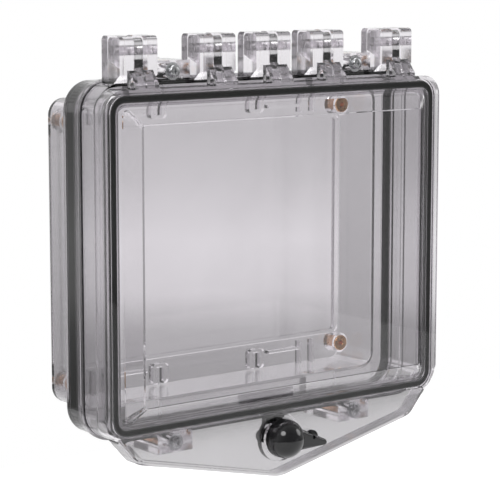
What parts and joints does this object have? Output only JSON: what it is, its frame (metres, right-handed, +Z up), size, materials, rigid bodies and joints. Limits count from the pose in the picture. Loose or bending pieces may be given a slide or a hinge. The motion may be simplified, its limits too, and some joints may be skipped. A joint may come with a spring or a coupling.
{
  "type": "hinged enclosure",
  "caption": "Clear wall-mounted enclosure with a lift-up cover on a row of hinge towers, a cover gasket, a brass-bushed back box and a black thumb lock on a V-shaped chin.",
  "frame": {"origin": "the middle of the wall screws' pattern, on the wall face of the back box", "axes": "+Z up, -Y out of the wall towards the viewer, +X to the right seen from the front"},
  "size_m": [0.34, 0.13, 0.3627],
  "materials": {
    "clear_polycarbonate": "gloss",
    "black_rubber": "matte",
    "brass": "satin",
    "bright_steel": "satin",
    "black_plastic": "gloss"
  },
  "bodies": {
    "base": {"back_box": "clear_polycarbonate", "wall_bushings": "brass", "joint_seal": "black_rubber", "frame": "clear_polycarbonate", "ear_sleeves": "brass", "ear_inserts": "brass", "frame_washers": "bright_steel", "frame_screws": "bright_steel", "hinge_pin_1": "clear_polycarbonate", "hinge_pin_2": "clear_polycarbonate", "hinge_pin_3": "clear_polycarbonate", "hinge_pin_4": "clear_polycarbonate", "hinge_pin_5": "clear_polycarbonate", "keeper": "black_plastic", "keeper_rivets": "bright_steel"},
    "lid": {"cover": "clear_polycarbonate", "cover_gasket": "black_rubber", "lock_bushing": "black_plastic", "lock_seal": "black_rubber", "lock_star_washer": "bright_steel", "lock_nut": "bright_steel"},
    "lock": {"thumb_knob": "black_plastic", "lock_spindle": "bright_steel", "lock_cam": "black_plastic", "cam_washer": "bright_steel", "cam_screw": "bright_steel"}
  },
  "joints": [
    {"name": "cover_hinge", "type": "hinge", "parent": "base", "child": "lid", "pos_m": [0, -0.0875, 0.165], "axis": [-1, 0, 0], "range_deg": [0, 180]},
    {"name": "lock_turn", "type": "hinge", "parent": "lid", "child": "lock", "pos_m": [0, -0.108, -0.1543], "axis": [0, 1, 0], "range_deg": [0, 90]}
  ]
}
